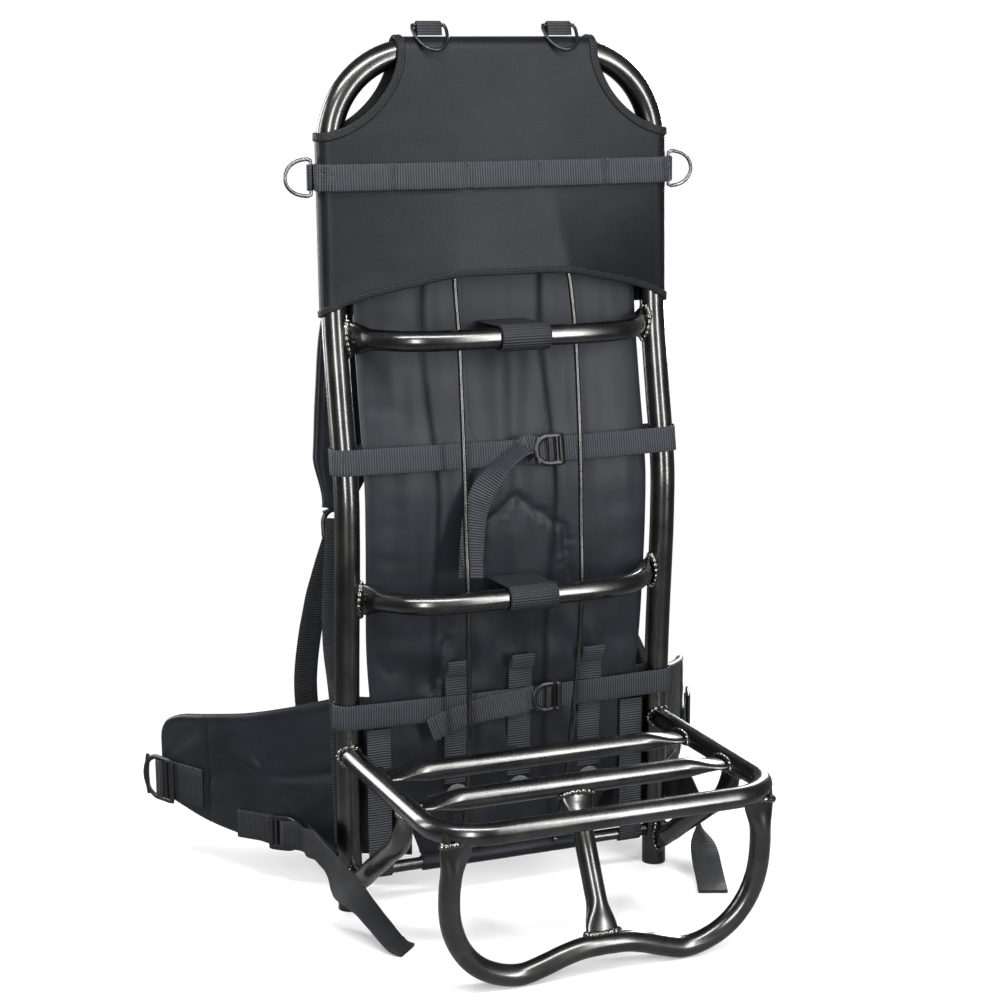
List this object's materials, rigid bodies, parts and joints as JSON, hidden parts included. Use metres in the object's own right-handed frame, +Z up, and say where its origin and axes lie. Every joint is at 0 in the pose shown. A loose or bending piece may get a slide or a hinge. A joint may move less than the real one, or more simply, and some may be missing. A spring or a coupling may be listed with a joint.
{
  "type": "external frame backpack",
  "caption": "Load-carrying pack frame of welded tube with a shelf, stand loop, fabric top panel, back pad, hip belt and shoulder straps.",
  "frame": {"origin": "on the floor, under the middle of the object's box", "axes": "+Z up; the load side with the shelf faces -Y; the wearer's back is on the +Y side; +X is the right side seen from the load side"},
  "size_m": [0.6456, 0.5064, 0.8647],
  "materials": {
    "tube": "semi-gloss dark gunmetal coating",
    "panel_fabric": "heavy black textured nylon",
    "pad_fabric": "smooth black nylon over foam",
    "webbing": "ribbed charcoal webbing",
    "plastic": "moulded black acetal",
    "ring_steel": "dark plated steel wire"
  },
  "bodies": {
    "root": {"main_tube": "tube", "crossbar_upper": "tube", "crossbar_lower": "tube", "bottom_bar": "tube", "shelf_rail": "tube", "shelf_bar_rear": "tube", "shelf_bar_front": "tube", "stand_loop": "tube", "stand_strut": "tube", "rod_left": "tube", "rod_right": "tube", "brace_left": "tube", "brace_right": "tube", "top_panel": "panel_fabric", "panel_webbing": "webbing", "crossbar_wrap_upper": "webbing", "crossbar_wrap_lower": "webbing", "band_upper": "webbing", "band_lower": "webbing", "band_tail_upper": "webbing", "band_tail_lower": "webbing", "pad_strap_left": "webbing", "pad_strap_middle": "webbing", "pad_strap_right": "webbing", "side_loop_left": "webbing", "top_loop_left": "webbing", "outer_strap_left": "webbing", "belt_tab_left": "webbing", "hip_web_left": "webbing", "hip_tail_left": "webbing", "shoulder_web_left": "webbing", "shoulder_tail_left": "webbing", "side_loop_right": "webbing", "top_loop_right": "webbing", "outer_strap_right": "webbing", "belt_tab_right": "webbing", "hip_web_right": "webbing", "hip_tail_right": "webbing", "shoulder_web_right": "webbing", "shoulder_tail_right": "webbing", "back_pad": "pad_fabric", "bottom_sleeve": "pad_fabric", "lumbar_pad": "pad_fabric", "belt_wing_left": "pad_fabric", "shoulder_pad_left": "pad_fabric", "belt_wing_right": "pad_fabric", "shoulder_pad_right": "pad_fabric", "band_buckle_upper": "plastic", "band_buckle_lower": "plastic", "top_ring_left": "plastic", "belt_buckle_left": "plastic", "belt_adjuster_left": "plastic", "shoulder_buckle_left": "plastic", "top_ring_right": "plastic", "belt_buckle_right": "plastic", "belt_adjuster_right": "plastic", "shoulder_buckle_right": "plastic", "side_ring_left": "ring_steel", "side_ring_right": "ring_steel"}
  },
  "joints": []
}
